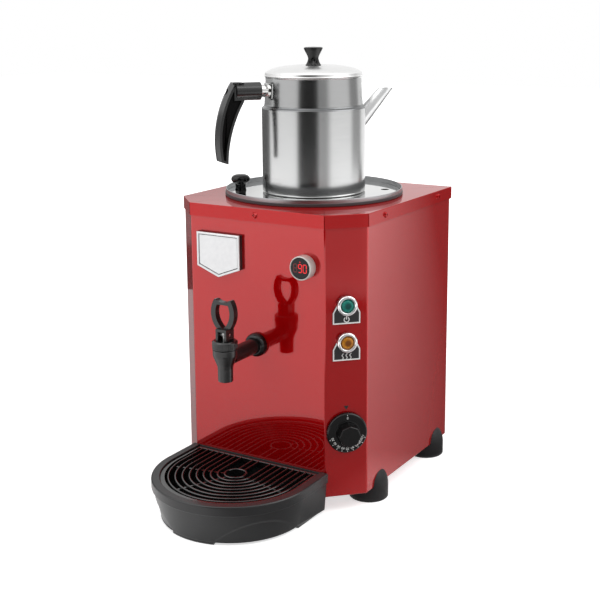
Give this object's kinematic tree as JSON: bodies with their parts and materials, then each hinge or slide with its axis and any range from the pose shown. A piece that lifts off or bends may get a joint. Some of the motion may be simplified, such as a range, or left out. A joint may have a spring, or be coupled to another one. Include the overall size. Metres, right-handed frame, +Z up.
{
  "type": "hot water urn",
  "caption": "Countertop hot water urn in red painted sheet metal with a steel teapot on its lid, a lever tap, a dial, two lamps, a thermometer and a drip tray with a grille",
  "frame": {"origin": "on the counter, under the middle of the whole's bounding box; X = 0 is the middle of the front panel", "axes": "+Z up, the front with the tap and the tray faces -Y, +X is the side with the dial"},
  "size_m": [0.2358, 0.3704, 0.4618],
  "materials": {
    "red_paint": "gloss",
    "steel": "satin",
    "polished_steel": "polished",
    "black_rubber": "matte",
    "insulation": "matte",
    "brass": "satin",
    "dark_plastic": "satin",
    "cream_plastic": "satin",
    "gloss_black": "gloss",
    "green_lens": "gloss",
    "amber_lens": "gloss"
  },
  "bodies": {
    "housing": {"housing_wrap": "red_paint", "rear_panel": "red_paint", "base_pan": "steel", "top_cover": "red_paint", "cover_screws": "red_paint", "panel_screws": "steel", "front_left_foot": "black_rubber", "front_right_foot": "black_rubber", "rear_left_foot": "black_rubber", "rear_right_foot": "black_rubber", "foot_screws": "steel", "boiler_tank": "steel", "tank_jacket": "insulation", "tank_stand": "steel", "immersion_heater": "brass", "heater_gasket": "black_rubber", "heater_nut": "brass", "overheat_cutout": "dark_plastic", "thermostat_body": "dark_plastic", "thermostat_bulb": "brass", "thermostat_screws": "steel", "terminal_block": "cream_plastic", "cable_gland": "dark_plastic", "gland_nut": "dark_plastic", "thermometer_body": "cream_plastic", "thermometer_window": "gloss_black", "thermometer_nut": "dark_plastic", "power_lamp_body": "steel", "power_lamp_lens": "green_lens", "heating_lamp_body": "steel", "heating_lamp_lens": "amber_lens", "lamp_nuts": "dark_plastic", "power_name_plate": "gloss_black", "heating_name_plate": "gloss_black", "badge_plate": "steel", "tap_body": "dark_plastic", "tap_bonnet": "dark_plastic", "tap_spring": "steel", "tap_flange_nut": "gloss_black", "tap_washer": "black_rubber", "tap_locknut": "brass"},
    "tap_valve": {"tap_stem": "steel", "tap_seat_cup": "cream_plastic", "tap_pin": "steel"},
    "tap_lever": {"tap_handle": "dark_plastic"},
    "dial": {"dial_knob": "gloss_black", "thermostat_spindle": "steel"},
    "boiler_lid": {"boiler_lid": "polished_steel", "lid_seal": "black_rubber", "lid_knob": "gloss_black", "lid_knob_screw": "steel"},
    "teapot": {"teapot_body": "steel", "teapot_spout": "steel", "handle_bracket": "steel", "teapot_handle": "gloss_black", "handle_screw": "steel"},
    "teapot_lid": {"teapot_lid": "steel", "teapot_knob": "gloss_black"},
    "drip_tray": {"drip_tray": "dark_plastic"},
    "tray_grille": {"tray_grille": "gloss_black"}
  },
  "joints": [
    {"name": "valve_lift", "type": "slide", "parent": "housing", "child": "tap_valve", "axis": [0, 0, 1], "range_m": [0, 0.004], "stiffness_N_per_m": 20, "springref_m": -0.01, "deforming": ["tap_spring"]},
    {"name": "lever_tilt", "type": "hinge", "parent": "tap_valve", "child": "tap_lever", "pos_m": [0, -0.11325, 0.1904], "axis": [1, 0, 0], "range_deg": [0, 32]},
    {"name": "dial_turn", "type": "hinge", "parent": "housing", "child": "dial", "pos_m": [0.0955, -0.04125, 0.0845], "axis": [0.7071, -0.7071, 0], "range_deg": [0, 270]},
    {"name": "boiler_lid_lift", "type": "slide", "parent": "housing", "child": "boiler_lid", "axis": [0, 0, 1], "range_m": [0, 0.12]},
    {"name": "teapot_lift", "type": "slide", "parent": "boiler_lid", "child": "teapot", "axis": [0, 0, 1], "range_m": [0, 0.12]},
    {"name": "teapot_lid_lift", "type": "slide", "parent": "teapot", "child": "teapot_lid", "axis": [0, 0, 1], "range_m": [0, 0.06]},
    {"name": "tray_pull", "type": "slide", "parent": "housing", "child": "drip_tray", "axis": [0, -1, 0], "range_m": [0, 0.15]},
    {"name": "grille_lift", "type": "slide", "parent": "drip_tray", "child": "tray_grille", "axis": [0, 0, 1], "range_m": [0, 0.05]}
  ],
  "couplings": [
    {"joint": "lever_tilt", "follows": "valve_lift", "rad_per_m": 139.62}
  ]
}
